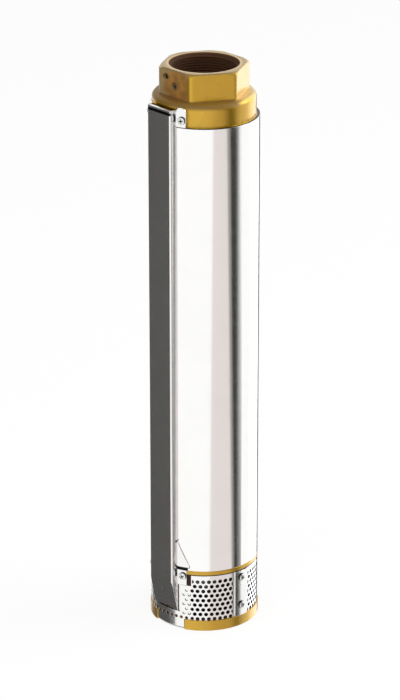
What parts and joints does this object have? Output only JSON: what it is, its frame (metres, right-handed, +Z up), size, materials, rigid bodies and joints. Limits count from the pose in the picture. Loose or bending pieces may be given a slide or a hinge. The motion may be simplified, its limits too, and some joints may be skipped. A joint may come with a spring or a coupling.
{
  "type": "borehole submersible pump",
  "caption": "Multistage borehole pump end: steel casing, bronze discharge head with check valve and hexagon, perforated suction strainer, cable guard and splined motor coupling.",
  "frame": {"origin": "on the shaft axis, in the plane of the underside of the motor flange rim, where the motor register begins", "axes": "+Z up the shaft towards the discharge, -Y towards the cable guard, +X towards the strainer's seam"},
  "size_m": [0.1009, 0.1028, 0.5214],
  "materials": {
    "cast_bronze": "satin casting, machined on the faces",
    "casing_steel": "polished stainless tube",
    "guard_steel": "bright stainless sheet",
    "strainer_steel": "bright perforated stainless sheet",
    "screw_steel": "stainless screw",
    "rubber": "black nitrile rubber",
    "valve_steel": "turned stainless",
    "valve_brass": "turned brass",
    "stage_plastic": "moulded ivory plastic",
    "impeller_plastic": "moulded black plastic",
    "wear_steel": "turned stainless",
    "shaft_steel": "drawn stainless bar"
  },
  "bodies": {
    "pump_body": {"suction_bracket": "cast_bronze", "discharge_head": "cast_bronze", "outer_casing": "casing_steel", "cable_guard": "guard_steel", "strainer": "strainer_steel", "strainer_screws": "screw_steel", "guard_screws": "screw_steel", "riser_lock_screw": "screw_steel", "bracket_o_ring": "rubber", "head_o_ring": "rubber", "top_bearing_bush": "rubber", "lower_bearing_bush": "rubber", "stage_bushes": "rubber", "valve_seat": "valve_steel", "valve_circlip": "valve_steel", "valve_spring": "valve_steel", "valve_guide": "valve_brass", "bearing_spider": "stage_plastic", "inlet_plate": "stage_plastic", "diffuser_1": "stage_plastic", "diffuser_2": "stage_plastic", "diffuser_3": "stage_plastic", "diffuser_4": "stage_plastic", "diffuser_5": "stage_plastic", "diffuser_6": "stage_plastic", "diffuser_7": "stage_plastic", "diffuser_8": "stage_plastic", "wear_ring_1": "wear_steel", "wear_ring_2": "wear_steel", "wear_ring_3": "wear_steel", "wear_ring_4": "wear_steel", "wear_ring_5": "wear_steel", "wear_ring_6": "wear_steel", "wear_ring_7": "wear_steel", "wear_ring_8": "wear_steel"},
    "rotor": {"pump_shaft": "shaft_steel", "shaft_coupling": "shaft_steel", "coupling_pin": "shaft_steel", "lower_sleeve": "shaft_steel", "top_sleeve": "shaft_steel", "shaft_washer": "shaft_steel", "shaft_nut": "shaft_steel", "impeller_1": "impeller_plastic", "impeller_2": "impeller_plastic", "impeller_3": "impeller_plastic", "impeller_4": "impeller_plastic", "impeller_5": "impeller_plastic", "impeller_6": "impeller_plastic", "impeller_7": "impeller_plastic", "impeller_8": "impeller_plastic"},
    "valve": {"valve_poppet": "valve_brass", "valve_seal": "rubber", "valve_washer": "valve_steel", "valve_screw": "valve_steel"}
  },
  "joints": [
    {"name": "rotor_spin", "type": "hinge", "parent": "pump_body", "child": "rotor", "pos_m": [0, 0, 0], "axis": [0, 0, 1], "continuous": true},
    {"name": "valve_lift", "type": "slide", "parent": "pump_body", "child": "valve", "axis": [0, 0, 1], "range_m": [0, 0.01], "stiffness_N_per_m": 400, "springref_m": -0.008, "deforming": ["valve_spring"]}
  ]
}
